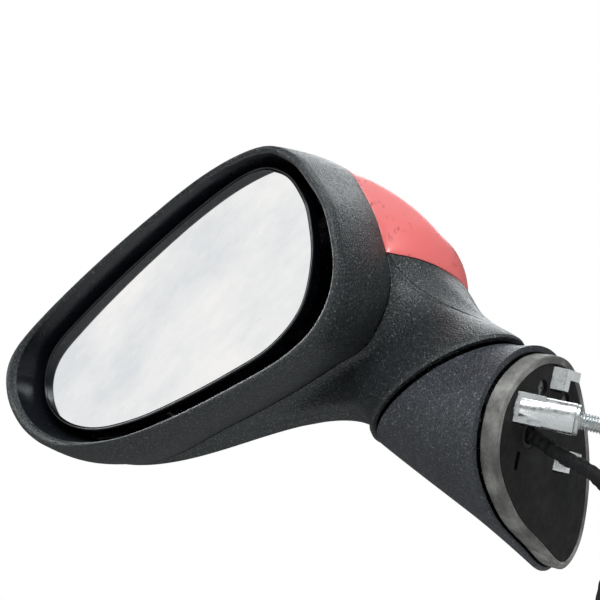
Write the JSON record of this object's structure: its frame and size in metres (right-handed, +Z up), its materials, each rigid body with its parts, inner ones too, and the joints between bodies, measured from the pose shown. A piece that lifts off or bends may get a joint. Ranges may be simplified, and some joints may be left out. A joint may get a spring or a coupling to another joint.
{
  "type": "car door mirror",
  "caption": "Left-hand car door mirror: adjustable glass in a charcoal bezel, painted back cap, folding head on an angled foot with a threaded stud and a taped cable.",
  "frame": {"origin": "middle of the foot's mounting face", "axes": "+X inboard towards the car, +Y forward, +Z up; the glass faces -Y"},
  "size_m": [0.2541, 0.1001, 0.3966],
  "materials": {
    "glass_face": "polished",
    "heater": "matt",
    "black_gloss": "gloss",
    "natural_plastic": "satin",
    "screw_metal": "plain",
    "motor_can": "plain",
    "black_plastic": "moulded",
    "cast_metal": "die-cast",
    "charcoal_plastic": "fine grain",
    "body_paint": "faded gloss",
    "tape": "taped",
    "spring_steel": "plain",
    "gasket_rubber": "worn",
    "zinc_thread": "zinc plated"
  },
  "bodies": {
    "foot": {"foot_bracket": "cast_metal", "foot_cover": "charcoal_plastic", "base_plate": "black_plastic", "base_gasket": "gasket_rubber", "base_screws": "screw_metal", "mounting_stud": "zinc_thread", "stud_collar": "zinc_thread", "foot_harness": "tape", "cable_grommet": "gasket_rubber", "cable": "tape", "cable_connector": "black_plastic", "pivot_tube": "screw_metal", "stop_ring": "cast_metal", "fold_spring": "spring_steel", "spring_retainer": "screw_metal"},
    "head": {"inner_frame": "cast_metal", "frame_screws": "screw_metal", "bezel_ring": "charcoal_plastic", "painted_cap": "body_paint", "lower_housing": "charcoal_plastic", "head_harness": "tape", "actuator_front": "black_plastic", "actuator_rear": "black_plastic", "actuator_screws": "screw_metal", "pan_motor": "motor_can", "tilt_motor": "motor_can", "thrust_washer": "natural_plastic"},
    "gimbal": {"pivot_cross": "screw_metal"},
    "glass_unit": {"mirror_glass": "glass_face", "heater_pad": "heater", "glass_holder": "black_gloss"},
    "pan_jack": {"pan_screw": "natural_plastic"},
    "tilt_jack": {"tilt_screw": "natural_plastic"},
    "pan_nut": {"pan_gear": "natural_plastic"},
    "tilt_nut": {"tilt_gear": "natural_plastic"},
    "pan_shaft": {"pan_worm": "screw_metal"},
    "tilt_shaft": {"tilt_worm": "screw_metal"}
  },
  "joints": [
    {"name": "fold", "type": "hinge", "parent": "foot", "child": "head", "pos_m": [-0.0202, -0.0015, 0.041], "axis": [0, 0, 1], "range_deg": [-55, 68]},
    {"name": "pan", "type": "hinge", "parent": "head", "child": "gimbal", "pos_m": [-0.096, -0.03, 0.138], "axis": [0, 0, 1], "range_deg": [-8, 8]},
    {"name": "tilt", "type": "hinge", "parent": "gimbal", "child": "glass_unit", "pos_m": [-0.096, -0.03, 0.138], "axis": [1, 0, 0], "range_deg": [-8, 8]},
    {"name": "pan_slide", "type": "slide", "parent": "head", "child": "pan_jack", "axis": [0, 1, 0], "range_m": [-0.0048, 0.0048]},
    {"name": "tilt_slide", "type": "slide", "parent": "head", "child": "tilt_jack", "axis": [0, 1, 0], "range_m": [-0.004, 0.004]},
    {"name": "pan_turn", "type": "hinge", "parent": "head", "child": "pan_nut", "pos_m": [-0.062, -0.0155, 0.138], "axis": [0, 1, 0], "range_deg": [-286, 286]},
    {"name": "tilt_turn", "type": "hinge", "parent": "head", "child": "tilt_nut", "pos_m": [-0.096, -0.0155, 0.11], "axis": [0, 1, 0], "range_deg": [-236, 236]},
    {"name": "pan_spin", "type": "hinge", "parent": "head", "child": "pan_shaft", "pos_m": [-0.073, -0.0155, 0.138], "axis": [0, 0.1333, 0.9911], "range_deg": [-5710, 5710]},
    {"name": "tilt_spin", "type": "hinge", "parent": "head", "child": "tilt_shaft", "pos_m": [-0.096, -0.0155, 0.121], "axis": [-0.9911, 0.1333, 0], "range_deg": [-4710, 4710]}
  ],
  "couplings": [
    {"joint": "pan_slide", "follows": "pan", "m_per_rad": 0.034},
    {"joint": "tilt_slide", "follows": "tilt", "m_per_rad": 0.028},
    {"joint": "pan_turn", "follows": "pan", "ratio": -35.605},
    {"joint": "tilt_turn", "follows": "tilt", "ratio": -29.322},
    {"joint": "pan_spin", "follows": "pan", "ratio": 712.09},
    {"joint": "tilt_spin", "follows": "tilt", "ratio": 586.43}
  ]
}
